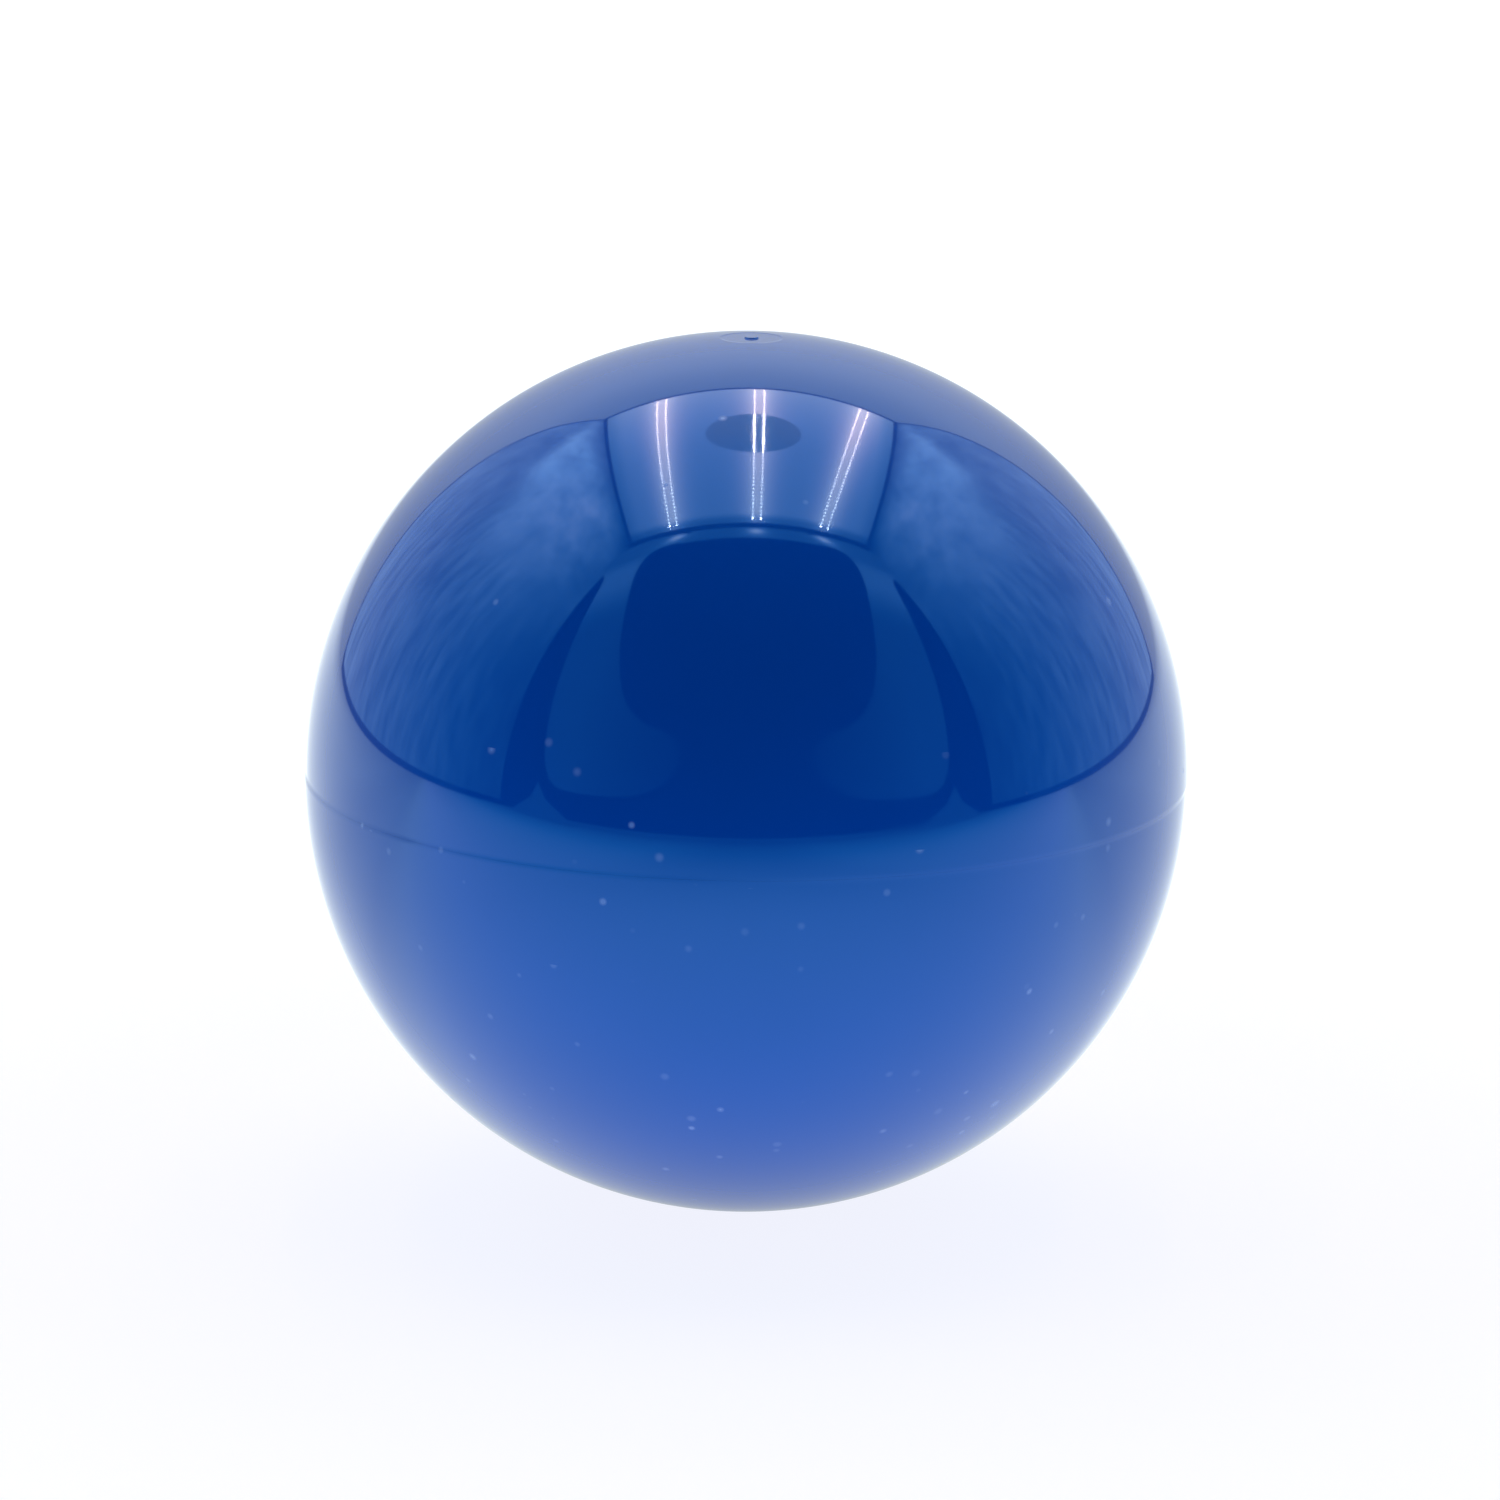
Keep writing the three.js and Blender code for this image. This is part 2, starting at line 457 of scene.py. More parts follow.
# The blue plastic
PIGMENT_FLOW = 45  # noise cells to the metre
PIGMENT = (0.0, 0.039, 0.235, 1), (0.0, 0.043, 0.26, 1)
SPECK_COLOUR = (0.4, 0.5, 0.75, 1)
SPECK_OPACITY = 0.22
SPECK_SPACING = 2.8 * MM
SPECK_RADIUS = 0.7 * MM
SPECK_SHARE = Ramp(-12 * MM, 12 * MM, 0.3, 0.03)  # by height
SPECKS_AT_SEAM = Ramp(0.3 * MM, 0.8 * MM, 0.3, 0.0)  # by distance from the seam
SPECK_ROUGHNESS = 0.35
SMUDGE_SCALE = 60  # noise cells to the metre
SMUDGES = Ramp(0.52, 0.75, smooth=True)
GLOSS = Ramp(0, 1, 0.04, 0.09)  # the roughness outside and inside a smudge
BLUE_SHEEN = (0.22, 0.63, 1.0, 1)


def glossy_blue_plastic():
    """Deep blue pigmented plastic off a polished mould, with pale specks and faint smudges."""
    nodes = Nodes("glossy_blue_plastic")
    pigment = nodes.mix(nodes.noise(PIGMENT_FLOW, detail=3), *PIGMENT)
    height = nodes.add("SeparateXYZ", {"Vector": nodes.position()}).outputs["Z"]
    at_seam = nodes.ramp(nodes.math("ABSOLUTE", height), SPECKS_AT_SEAM)
    share = nodes.math("ADD", nodes.ramp(height, SPECK_SHARE), at_seam)
    speck = specks(nodes, SPECK_SPACING, SPECK_RADIUS, share)
    colour = nodes.mix(nodes.math("MULTIPLY", speck, SPECK_OPACITY), pigment, SPECK_COLOUR)
    smudge = nodes.ramp(nodes.noise(SMUDGE_SCALE, detail=4, roughness=0.6), SMUDGES)
    rough = nodes.math("MULTIPLY", speck, SPECK_ROUGHNESS)
    return nodes.surface(
        Base_Color=colour,
        Roughness=nodes.math("MAXIMUM", nodes.ramp(smudge, GLOSS), rough),
        IOR=1.5,
        Specular_IOR_Level=0.8,
        Specular_Tint=BLUE_SHEEN,
    )


# The core compound
GRAIN_SIZE = 2.2 * MM
FLECK_SIZE = 0.5 * MM
CORK = (0.09, 0.045, 0.02, 1), (0.42, 0.25, 0.12, 1)
FLECK_COLOUR = (0.16, 0.085, 0.04, 1)
RESIN_COLOUR = (0.19, 0.11, 0.05, 1)
FLECKS = Ramp(0.45, 0.7)
RESIN_SEAMS = Ramp(0.02, 0.1, 1, 0, smooth=True)  # from the border between two grains
CORE_ROUGHNESS = Ramp(0, 1, 0.92, 0.6)  # on cork and on resin
CORE_RELIEF = 0.12 * MM
CORE_BUMP = 0.6  # the strength of the relief


def cork_compound():
    """Cork granules set in resin, cast and cut."""
    nodes = Nodes("cork_compound")
    inputs = {"Vector": nodes.position(), "Scale": 1 / GRAIN_SIZE}
    grains = nodes.add("TexVoronoi", inputs).outputs["Color"]
    tone = nodes.add("SeparateColor", {"Color": grains}).outputs[0]
    fleck = nodes.noise(1 / FLECK_SIZE, detail=4)
    cork = nodes.mix(nodes.ramp(fleck, FLECKS), nodes.mix(tone, *CORK), FLECK_COLOUR)
    borders = nodes.add("TexVoronoi", inputs, feature="DISTANCE_TO_EDGE").outputs["Distance"]
    resin = nodes.ramp(borders, RESIN_SEAMS)
    return nodes.surface(
        Base_Color=nodes.mix(resin, cork, RESIN_COLOUR),
        Roughness=nodes.ramp(resin, CORE_ROUGHNESS),
        Normal=nodes.bump(nodes.math("SUBTRACT", fleck, resin), CORE_RELIEF, CORE_BUMP),
    )


# The adhesive
AMBER = (0.5, 0.33, 0.13, 1), (0.68, 0.5, 0.24, 1)
AMBER_CLOUDS = 160  # noise cells to the metre
WAVES = 400  # noise cells to the metre
BUBBLE_COLOUR = (0.85, 0.72, 0.45, 1)
BUBBLE_SPACING = 2.5 * MM
BUBBLE_RADIUS = 0.5 * MM
BUBBLE_SHARE = 0.5
BUBBLE_OPACITY = 0.5
ADHESIVE_ROUGHNESS = Ramp(0.3, 0.7, 0.25, 0.4)
ADHESIVE_RELIEF = 0.05 * MM
ADHESIVE_BUMP = 0.5  # the strength of the relief


def amber_adhesive():
    """Set epoxy, amber, with small bubbles and a slightly wavy skin."""
    nodes = Nodes("amber_adhesive")
    cloud = nodes.noise(AMBER_CLOUDS, detail=3)
    bubble = specks(nodes, BUBBLE_SPACING, BUBBLE_RADIUS, BUBBLE_SHARE)
    pale = nodes.math("MULTIPLY", bubble, BUBBLE_OPACITY)
    height = nodes.math("SUBTRACT", nodes.noise(WAVES), bubble)
    return nodes.surface(
        Base_Color=nodes.mix(pale, nodes.mix(cloud, *AMBER), BUBBLE_COLOUR),
        Roughness=nodes.ramp(cloud, ADHESIVE_ROUGHNESS),
        Normal=nodes.bump(height, ADHESIVE_RELIEF, ADHESIVE_BUMP),
    )


# ---------------------------------------------------------------- the stage

# The tent. Its unit of length is its half width, and cloth with a strength of 1 would look plain white
TENT_HALF_WIDTH = 28 * BALL_RADIUS
TENT_FLOOR = -BALL_RADIUS / TENT_HALF_WIDTH
TENT_SIDE = 1.0
TENT_TOP = 2.05
TENT_FRONT = -0.42
TENT_BACK = 1.73
WALL_FRONT = -0.475  # the side walls run a little past the front flaps
TENT_GAP = 0.022  # dark binding along the panels' edges
SWEEP_START = 1.18  # where the sheet on the floor starts to rise
SWEEP_LENGTH = 0.48
SWEEP_HEIGHT = 1.4
SWEEP_STEPS = 8
FLOOR_OVERHANG = 0.25  # how far the sheet runs out of the tent's front
ROOM_SIZE = 5

# The lamps and the hatch in the ceiling
LAMPS = ((-0.59, 0.01), (0.055, 0.0), (0.61, 0.08))  # each bar's place across, and its slope to the back
MIDDLE_BAR = LAMPS[1][0]
LAMP_ROW_GAP = 0.06
LAMP_ROW_WIDTH = 0.007
LAMP_DROP = 0.01  # below the ceiling
LAMP_FRONT = -0.33
HATCH_CENTRE = (0.02, 0.78)
HATCH_RADIUS = 0.31
HATCH_CORNERS = 48
HATCH_DROP = 0.005  # below the ceiling

# The colours of the light
COOL_LIGHT = (0.3, 0.98, 1.38, 1)
WARM_LIGHT = (1.12, 1.04, 1.33, 1)
LAMP_LIGHT = (2.0, 1.15, 1.0, 1)
FAR_LIGHT = (0.93, 1.0, 1.0, 1)
FAR_WALL_LIGHT = (0.8, 1.07, 1.48, 1)


def unseen(piece):
    """Keeps a stage object out of the camera's sight. It still lights the ball and is mirrored in it."""
    piece.visible_camera = False


def sheet(name, corners, material):
    """A flat panel of the tent. The corners are (x, y, z) in the tent's unit."""
    build = bmesh.new()
    build.faces.new([build.verts.new(Vector(c) * TENT_HALF_WIDTH) for c in corners])
    mesh = bpy.data.meshes.new(name)
    build.to_mesh(mesh)
    build.free()
    mesh.materials.append(material)
    unseen(link_mesh(name, mesh))


CORNER_CUTS = 2
CUT_NEAR = 0.25  # where an edge is cut, as shares of its length
CUT_FAR = 0.75


def smoothed(points):
    """Cuts the corners of a closed outline, and then the corners that this leaves."""
    for _ in range(CORNER_CUTS):
        cut = []
        for (x0, y0), (x1, y1) in zip(points, points[1:] + points[:1]):
            for share in (CUT_NEAR, CUT_FAR):
                cut.append((x0 + (x1 - x0) * share, y0 + (y1 - y0) * share))
        points = cut
    return points


WARM_BY_STRENGTH = Ramp(0.5, 2.6)
FAR_END_OF_CLOTH = Ramp(-0.1, 0.8)
FAR_END_OF_CEILING = Ramp(1.0, 2.5)
WARM_FLOOR = Ramp(-0.3, -0.06, 0.0, 0.82)
FAR_END_OF_FLOOR = Ramp(-0.04, 0.0)
LAMP_COLOURED = Ramp(2.0, 5.0)  # by strength


def warmth_of_cloth(nodes, strength, y):
    """How warm the light is, and how much of it has the colour of the far end."""
    return nodes.ramp(strength, WARM_BY_STRENGTH), nodes.ramp(y, FAR_END_OF_CLOTH)


def warmth_of_floor(nodes, strength, y):
    return nodes.ramp(y, WARM_FLOOR), nodes.ramp(y, FAR_END_OF_FLOOR)


def warmth_of_ceiling(nodes, strength, y):
    return nodes.ramp(strength, WARM_BY_STRENGTH), nodes.ramp(y, FAR_END_OF_CEILING)


def warmth_of_lamp(nodes, strength, y):
    return 1.0, 0.0


def glow(name, strength_of, warmth_of=warmth_of_cloth, far_light=FAR_LIGHT):
    """A light whose strength is worked out from its place in the tent by strength_of(nodes, x, y, z).

    Cloth that little light reaches is bluish and bright cloth is reddish, as the photo shows them.
    """
    nodes = Nodes(name)
    inputs = {0: nodes.position(), "Scale": 1 / TENT_HALF_WIDTH}
    place = nodes.add("VectorMath", inputs, operation="SCALE").outputs[0]
    x, y, z = nodes.add("SeparateXYZ", {"Vector": place}).outputs
    strength = strength_of(nodes, x, y, z)
    warm, far = warmth_of(nodes, strength, y)
    colour = nodes.mix(warm, COOL_LIGHT, WARM_LIGHT)
    colour = nodes.mix(nodes.ramp(strength, LAMP_COLOURED), colour, LAMP_LIGHT)
    colour = nodes.mix(far, colour, far_light)
    return nodes.show(nodes.add("Emission", {"Color": colour, "Strength": strength}))


CLOUDS_PER_UNIT = 3.5
FOLDS_PER_UNIT = 5
FOLD_STRETCH = 4  # folds are this many times as tall as they are wide
FOLDS_TO_CLOUDS = Ramp(0.5, 1.1, smooth=True)
STREAK_STRENGTH = Ramp(0.35, 0.65, 0.78, 1.22)


def streaks(nodes, y, z):
    """Cloudy light on the cloth, and upright folds in its lower part. It varies round 1."""
    place = nodes.add("CombineXYZ", {"X": y, "Y": z}).outputs[0]
    stretched = nodes.math("MULTIPLY", y, FOLD_STRETCH)
    folded = nodes.add("CombineXYZ", {"X": stretched, "Y": z}).outputs[0]
    clouds = nodes.noise(CLOUDS_PER_UNIT, detail=6, roughness=0.65, vector=place)
    folds = nodes.noise(FOLDS_PER_UNIT, detail=3, vector=folded)
    return nodes.ramp(nodes.mix(nodes.ramp(z, FOLDS_TO_CLOUDS), folds, clouds), STREAK_STRENGTH)


WALL_CLOTH = Ramp(0.1, 0.9, 0.82, 0.95)
WALL_UNDER_CEILING = Ramp(1.9, 2.0, 1.0, 0.6)
WALL_FROM_FRONT = Ramp(-0.4, 0.1, 0.42, 1.0)
WEDGE_RISE = Ramp(0.35, 1.4, smooth=True)
WEDGE_FALL = Ramp(1.7, 1.95, 1.0, 0.3, smooth=True)
WEDGE_BACK = Ramp(-0.45, -0.1, 1.0, 0.0, smooth=True)  # by y - z
WEDGE_ACROSS = Ramp(-1.0, 1.0, 1.0, 0.84)
WEDGE_STRENGTH = 1.2


def wall_glow(nodes, x, y, z):
    """The lamps strike a wedge of each wall, high up and towards the front."""
    slant = nodes.math("SUBTRACT", y, z)
    wedge = nodes.product(nodes.ramp(z, WEDGE_RISE), nodes.ramp(z, WEDGE_FALL))
    wedge = nodes.product(wedge, nodes.ramp(slant, WEDGE_BACK), nodes.ramp(x, WEDGE_ACROSS))
    strength = nodes.math("MULTIPLY", wedge, WEDGE_STRENGTH)
    strength = nodes.math("ADD", nodes.ramp(z, WALL_CLOTH), strength)
    shades = nodes.ramp(y, WALL_FROM_FRONT), nodes.ramp(z, WALL_UNDER_CEILING)
    return nodes.product(strength, *shades, streaks(nodes, y, z))


FLOOR_STRENGTH = 1.95
FLOOR_FROM_FRONT = Ramp(-0.5, -0.03, 0.2, 1.0)
FLOOR_BEHIND_BALL = Ramp(0.0, 0.12, 1.0, 0.8, smooth=True)
FLOOR_FAR_END = Ramp(0.5, 1.2, 1.0, 0.6)
FLOOR_BESIDE_BALL = Ramp(0.02, 0.09, 1.0, 0.9)
FLOOR_BY_WALLS = Ramp(0.3, 1.0, 1.0, 0.75)
# Painted shade: straight in front of the ball, where the camera and its stand shade the floor, it is
# dimmer, and to both sides of that it is brighter
CAMERA_SHADE_ACROSS = Ramp(0.02, 0.14, -0.2, 0.12, smooth=True)
CAMERA_SHADE_REACH = Ramp(-0.22, -0.1, 1.0, 0.0)
# The ball's shade under it and close behind it
SHADE_UNDER = 0.72
SHADE_FALLOFF = 1.5
SHADE_BEHIND = Ramp(-0.012, 0.015, 0.0, 0.2, smooth=True)
SHADE_REACH = Ramp(0.04, 0.13, 1.0, 0.0, smooth=True)


def floor_glow(nodes, x, y, z):
    """The floor is brightest in front of the ball, and the ball shades it all round and behind."""
    aside = nodes.math("ABSOLUTE", x)
    ball = TENT_FLOOR**2  # the ball's radius, squared
    nearness = nodes.math("DIVIDE", ball, nodes.math("ADD", nodes.squares(x, y), ball))
    under = nodes.math("MULTIPLY", nodes.math("POWER", nearness, SHADE_FALLOFF), SHADE_UNDER)
    behind = nodes.product(nodes.ramp(y, SHADE_BEHIND), nodes.ramp(y, SHADE_REACH))
    # Painted shade of the camera and its stand on the floor in front of the ball
    middle = nodes.product(nodes.ramp(aside, CAMERA_SHADE_ACROSS), nodes.ramp(y, CAMERA_SHADE_REACH))
    strength = nodes.math("MULTIPLY", nodes.math("SUBTRACT", 1.0, under), FLOOR_STRENGTH)
    strength = nodes.product(strength, nodes.math("SUBTRACT", 1.0, behind), nodes.math("ADD", middle, 1.0))
    for ramp in (FLOOR_FROM_FRONT, FLOOR_BEHIND_BALL, FLOOR_FAR_END):
        strength = nodes.product(strength, nodes.ramp(y, ramp))
    for ramp in (FLOOR_BESIDE_BALL, FLOOR_BY_WALLS):
        strength = nodes.product(strength, nodes.ramp(aside, ramp))
    return strength


BACK_UPWARDS = Ramp(0.0, 1.3, 0.76, 1.3, smooth=True)


def back_glow(nodes, x, y, z):
    return nodes.ramp(z, BACK_UPWARDS)


CEILING_TO_BACK = Ramp(0.6, 1.6, 1.6, 1.85)
CEILING_EDGE = Ramp(0.85, 0.97, 1.0, 0.75, smooth=True)
CEILING_FRONT = Ramp(-0.35, -0.25, 0.5, 1.0, smooth=True)
HALO_STRENGTH = 3.2
HALO_WIDTH = 0.07


def ceiling_glow(nodes, x, y, z):
    """The cloth ceiling, with a soft halo along each lamp bar."""
    strength = nodes.ramp(y, CEILING_TO_BACK)
    for place, slope in LAMPS:
        line = nodes.math("ADD", nodes.math("MULTIPLY", y, slope), place)
        away = nodes.math("DIVIDE", nodes.math("SUBTRACT", x, line), HALO_WIDTH)
        spread = nodes.math("ADD", nodes.squares(away), 1.0)
        strength = nodes.math("ADD", nodes.math("DIVIDE", HALO_STRENGTH, spread), strength)
    edge = nodes.ramp(nodes.math("ABSOLUTE", x), CEILING_EDGE)
    return nodes.product(strength, edge, nodes.ramp(y, CEILING_FRONT))


FRONT_LOW = Ramp(0.6, 1.05, 0.4, 1.15, smooth=True)
FRONT_HIGH = Ramp(1.2, 1.5, 1.0, 0.6, smooth=True)
FRONT_OUTWARDS = Ramp(0.1, 0.42, 0.2, 1.0)
FRONT_UPWARDS = Ramp(0.3, 1.0)
SPOT_STRENGTH = 3.5
SPOT_HEIGHT = 1.82
SPOT_SPREAD = (0.07, 0.16)  # across and up
SPOT_INWARDS = 0.88  # the spots stand closer together than the bars


def front_glow(nodes, x, y, z):
    """The front flaps and valance, with the lamps' light on them below each bar's end."""
    outwards = nodes.ramp(nodes.math("ABSOLUTE", x), FRONT_OUTWARDS)
    reach = nodes.math("MAXIMUM", outwards, nodes.ramp(z, FRONT_UPWARDS))
    strength = nodes.product(nodes.ramp(z, FRONT_LOW), nodes.ramp(z, FRONT_HIGH), reach)
    up = nodes.math("DIVIDE", nodes.math("SUBTRACT", z, SPOT_HEIGHT), SPOT_SPREAD[1])
    for place, _ in LAMPS:
        across = nodes.math("SUBTRACT", x, place * SPOT_INWARDS)
        across = nodes.math("DIVIDE", across, SPOT_SPREAD[0])
        away = nodes.math("ADD", nodes.squares(across, up), 1.0)
        spot = nodes.math("DIVIDE", SPOT_STRENGTH, nodes.squares(away))
        strength = nodes.math("ADD", spot, strength)
    return strength


LAMP_TURN = 150  # radians to the unit, which puts the lamps 0.042 apart
LAMP_STRENGTH = Ramp(0, 1, 5, 40)  # between the lamps and on them
BARE_LAMP_END = Ramp(LAMP_FRONT, LAMP_FRONT + 0.03, 4.0, 0.0)
BARE_UNDER_HATCH = 3.0
MIDDLE_BAR_REACH = 0.1


def lamp_glow(nodes, x, y, z):
    """Rows of small lamps, bare at their front ends and under the hatch."""
    beads = nodes.ramp(nodes.math("SINE", nodes.math("MULTIPLY", y, LAMP_TURN)), LAMP_STRENGTH)
    middle = nodes.math("LESS_THAN", nodes.distance(x, MIDDLE_BAR), MIDDLE_BAR_REACH)
    inside = nodes.math("LESS_THAN", nodes.distance(y, HATCH_CENTRE[1]), HATCH_RADIUS)
    bare = nodes.product(middle, inside, BARE_UNDER_HATCH)
    bare = nodes.math("ADD", nodes.ramp(y, BARE_LAMP_END), bare)
    return nodes.product(beads, nodes.math("ADD", bare, 1.0))


HATCH_FROM_BAR = Ramp(0.0, 0.12, 1.9, 1.35)


def hatch_glow(nodes, x, y, z):
    return nodes.ramp(nodes.distance(x, MIDDLE_BAR), HATCH_FROM_BAR)


ROOM_TO_TENT = Ramp(-0.7, -0.45, 0.02, 0.2)


def room_glow(nodes, x, y, z):
    """A dark room past the open front, and the dim outside of the tent past its other edges."""
    return nodes.ramp(y, ROOM_TO_TENT)


def backdrop():
    """The edge of the sheet that covers the floor and sweeps up the back, as (y, z) from the front."""
    line = [(TENT_FRONT - FLOOR_OVERHANG, TENT_FLOOR)]
    for i in range(SWEEP_STEPS + 1):
        t = i / SWEEP_STEPS
        line.append((SWEEP_START + SWEEP_LENGTH * t, TENT_FLOOR + SWEEP_HEIGHT * t**2))
    line.append((TENT_BACK, TENT_TOP - TENT_GAP))
    return line


def tent_walls():
    """The side walls, with a gap between them and the panels that they meet."""
    wall = glow("tent_wall_cloth", wall_glow, far_light=FAR_WALL_LIGHT)
    top = TENT_TOP - TENT_GAP
    edge = [(y - TENT_GAP, z + TENT_GAP) for y, z in backdrop()[1:-1]]
    edge += [(TENT_BACK - TENT_GAP, top), (WALL_FRONT, top), (WALL_FRONT, TENT_FLOOR + TENT_GAP)]
    for name, x in (("tent_left_wall", -TENT_SIDE), ("tent_right_wall", TENT_SIDE)):
        sheet(name, [(x, y, z) for y, z in edge], wall)


def tent_backdrop():
    """The sheet on the floor and up the back, in strips."""
    on_floor = glow("tent_floor_cloth", floor_glow, warmth_of_floor)
    at_back = glow("tent_back_cloth", back_glow)
    line = backdrop()
    for i, ((y0, z0), (y1, z1)) in enumerate(zip(line, line[1:])):
        corners = [(-TENT_SIDE, y0, z0), (TENT_SIDE, y0, z0), (TENT_SIDE, y1, z1), (-TENT_SIDE, y1, z1)]
        sheet(f"tent_backdrop_{i}", corners, at_back if i else on_floor)


def tent_ceiling():
    x = TENT_SIDE - TENT_GAP
    near, far = TENT_FRONT + 2 * TENT_GAP, TENT_BACK - TENT_GAP
    corners = [(-x, near, TENT_TOP), (x, near, TENT_TOP), (x, far, TENT_TOP), (-x, far, TENT_TOP)]
    sheet("tent_ceiling", corners, glow("tent_ceiling_cloth", ceiling_glow, warmth_of_ceiling))


def lamp_bars():
    """Two rows of small lamps in each bar."""
    lamp = glow("lamp_row", lamp_glow, warmth_of_lamp)
    half = LAMP_ROW_WIDTH / 2
    back = TENT_BACK - 2 * TENT_GAP
    z = TENT_TOP - LAMP_DROP
    for number, (place, slope) in enumerate(LAMPS):
        for row, offset in enumerate((-LAMP_ROW_GAP / 2, LAMP_ROW_GAP / 2)):
            near = place + offset + slope * LAMP_FRONT
            far = place + offset + slope * TENT_BACK
            corners = [(near - half, LAMP_FRONT, z), (near + half, LAMP_FRONT, z)]
            corners += [(far + half, back, z), (far - half, back, z)]
            sheet(f"lamp_row_{number}_{row}", corners, lamp)


def hatch():
    """The round hatch in the ceiling, which the middle lamp bar crosses."""
    x, y = HATCH_CENTRE
    rim = []
    for i in range(HATCH_CORNERS):
        turn = 2 * math.pi * i / HATCH_CORNERS
        across = HATCH_RADIUS * math.cos(turn)
        along = HATCH_RADIUS * math.sin(turn)
        rim.append((x + across, y + along, TENT_TOP - HATCH_DROP))
    sheet("tent_hatch", rim, glow("tent_hatch_cloth", hatch_glow))


# One front flap's outline and one fold of the floor sheet, as (x, z). Their mirror images are the others.
FLAP = (
    (1.0, 2.0),
    (1.0, 1.45),
    (0.83, 1.25),
    (0.76, 1.03),
    (0.66, 0.61),
    (0.6, 0.3),
    (0.54, 0.06),
    (0.36, 0.04),
    (0.16, 0.05),
    (0.11, 0.16),
    (0.27, 0.22),
    (0.36, 0.42),
    (0.46, 0.75),
    (0.58, 1.15),
    (0.62, 1.5),
    (0.52, 1.6),
    (0.42, 1.58),
    (0.42, 2.0),
)
FOLD = ((0.38, -0.035), (0.76, -0.035), (0.61, 0.02), (0.57, 0.065), (0.52, 0.02))
VALANCE = ((-0.44, 1.56), (0.44, 1.56), (0.44, 2.0), (-0.44, 2.0))


def tent_front():
    """Two flaps drawn back from the opening, the valance over it, and folds of the floor sheet."""
    cloth = glow("tent_front_cloth", front_glow)
    for name, side in (("left", -1), ("right", 1)):
        sheet(f"tent_{name}_flap", [(side * x, TENT_FRONT, z) for x, z in smoothed(FLAP)], cloth)
        sheet(f"tent_{name}_fold", [(side * x, TENT_FRONT, z) for x, z in FOLD], cloth)
    sheet("tent_valance", [(x, TENT_FRONT, z) for x, z in VALANCE], cloth)


def dark_room():
    """What lies round the tent. It closes the tent's edges and its open front."""
    build = bmesh.new()
    bmesh.ops.create_cube(build, size=ROOM_SIZE * TENT_HALF_WIDTH)
    mesh = bpy.data.meshes.new("dark_room")
    build.to_mesh(mesh)
    build.free()
    mesh.materials.append(glow("dark_room_wall", room_glow))
    unseen(link_mesh("dark_room", mesh))


FLOOR_HALF_SIZE = 8  # metres
# Painted light: the floor glows in place of the lamps' light on it, and the glow's blue tint paints the
# blue light that the ball throws down; the dim yellowish floor colour nearly cancels that tint where the
# lamps' light falls
FLOOR_COLOUR = (0.1, 0.095, 0.06, 1)
FLOOR_PAINTED_GLOW = (0.865, 0.875, 0.965, 1)
# Painted shade: the glow is weaker near the ball and grows to full strength from 80 mm to 400 mm out
FLOOR_GLOW_PAST_PAINTED_SHADE = Ramp(80 * MM, 400 * MM, 1.0, 1.18)


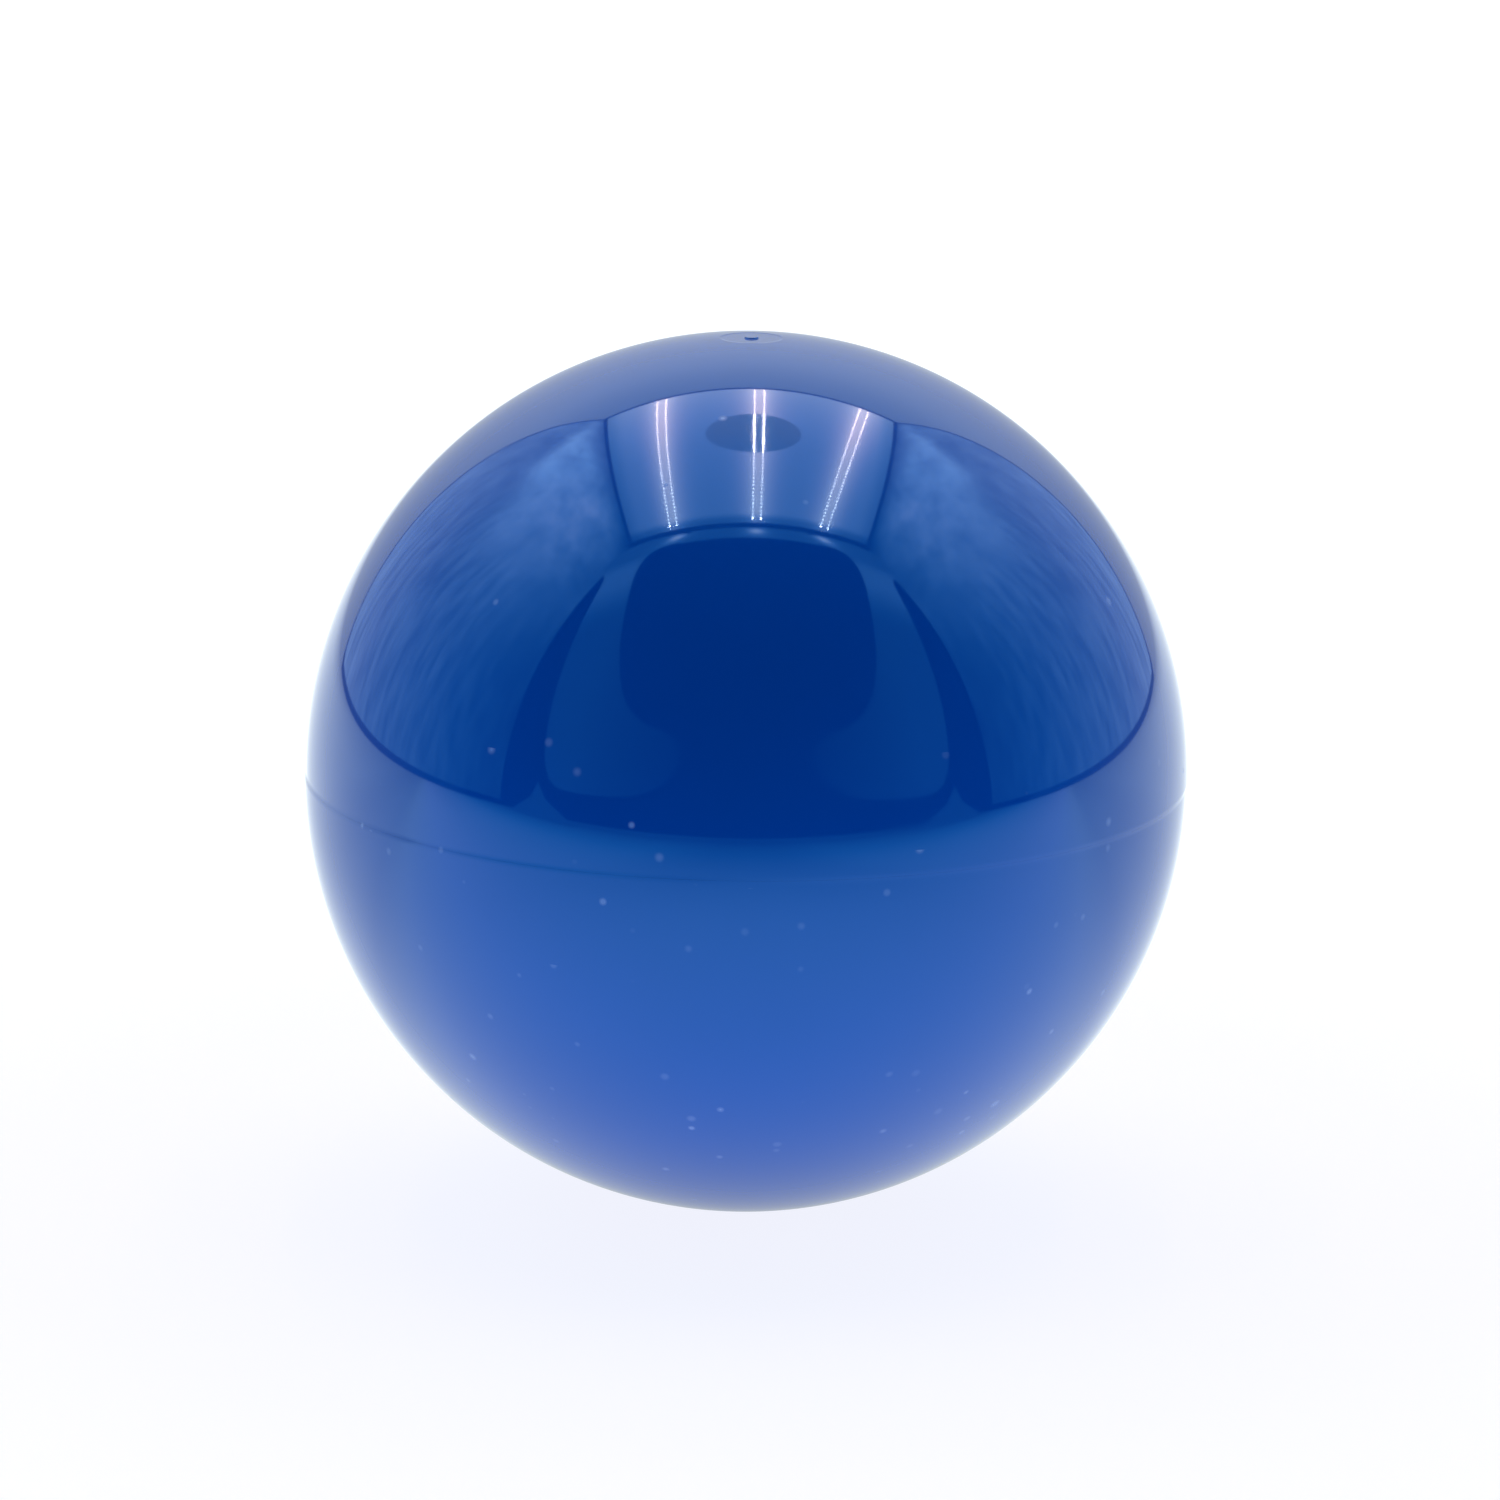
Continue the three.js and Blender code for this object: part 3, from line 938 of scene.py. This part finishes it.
def floor():
    """The white floor that the camera sees. It glows with painted light in place of the lamps' light on
    it, tinted blue to paint the light that the blue ball throws down, so the ball's real shadow on it is
    faint and blue. The glow is painted darker near the ball, and it fades to plain white further out."""
    nodes = Nodes("white_floor")
    away = nodes.add("VectorMath", {0: nodes.position()}, operation="LENGTH").outputs["Value"]
    nodes.surface(
        Base_Color=FLOOR_COLOUR,
        Roughness=1.0,
        Specular_IOR_Level=0.0,
        # The glow is painted light, painted darker near the ball
        Emission_Color=FLOOR_PAINTED_GLOW,
        Emission_Strength=nodes.ramp(away, FLOOR_GLOW_PAST_PAINTED_SHADE),
    )
    build = bmesh.new()
    bmesh.ops.create_grid(build, x_segments=1, y_segments=1, size=FLOOR_HALF_SIZE)
    mesh = bpy.data.meshes.new("floor")
    build.to_mesh(mesh)
    build.free()
    mesh.materials.append(nodes.material)
    surface = link_mesh("floor", mesh)
    surface.location.z = -BALL_RADIUS
    surface.visible_diffuse = False
    surface.visible_glossy = False
    surface.visible_shadow = False


def white_surround():
    """The camera sees plain white past the floor."""
    world = bpy.data.worlds.new("white_surround")
    bpy.context.scene.world = world
    world.use_nodes = True
    background = world.node_tree.nodes["Background"].inputs
    background["Color"].default_value = (1, 1, 1, 1)
    background["Strength"].default_value = 1.0


# ---------------------------------------------------------------- the camera

CAMERA_ELEVATION = math.radians(13.6)
CAMERA_DISTANCE = 15.38 * BALL_RADIUS
CAMERA_LENS = 162.4  # mm
CAMERA_SENSOR = 36  # mm
CAMERA_ROLL = math.radians(0.65)
CAMERA_UP = math.radians(0.176)  # how far above and to the right of the ball's centre it looks
CAMERA_RIGHT = math.radians(0.033)
CLIP_START = CAMERA_DISTANCE / 10
CLIP_END = CAMERA_DISTANCE * 20


def camera():
    """The eye is in front of the ball and a little above it."""
    data = bpy.data.cameras.new("camera")
    data.sensor_width = CAMERA_SENSOR
    data.lens = CAMERA_LENS
    data.clip_start = CLIP_START
    data.clip_end = CLIP_END
    eye = bpy.data.objects.new("camera", data)
    bpy.context.scene.collection.objects.link(eye)
    back = Vector((0, -math.cos(CAMERA_ELEVATION), math.sin(CAMERA_ELEVATION)))
    eye.location = back * CAMERA_DISTANCE
    turn = Euler((CAMERA_UP, -CAMERA_RIGHT, CAMERA_ROLL)).to_matrix()
    eye.rotation_euler = ((-back).to_track_quat("-Z", "Y").to_matrix() @ turn).to_euler()
    bpy.context.scene.camera = eye


# ---------------------------------------------------------------- build

blue = glossy_blue_plastic()
cork = cork_compound()
adhesive = amber_adhesive()
half_shell("upper_half_shell", 1, groove_outline(), blue)
half_shell("lower_half_shell", -1, tongue_outline(), blue)
core_half("upper_core_fill", 1, cork)
core_half("lower_core_fill", -1, cork)
adhesive_film(adhesive)
adhesive_bead(adhesive)

camera()
white_surround()
floor()
tent_walls()
tent_backdrop()
tent_ceiling()
lamp_bars()
hatch()
tent_front()
dark_room()
bpy.context.scene.view_settings.view_transform = "Standard"
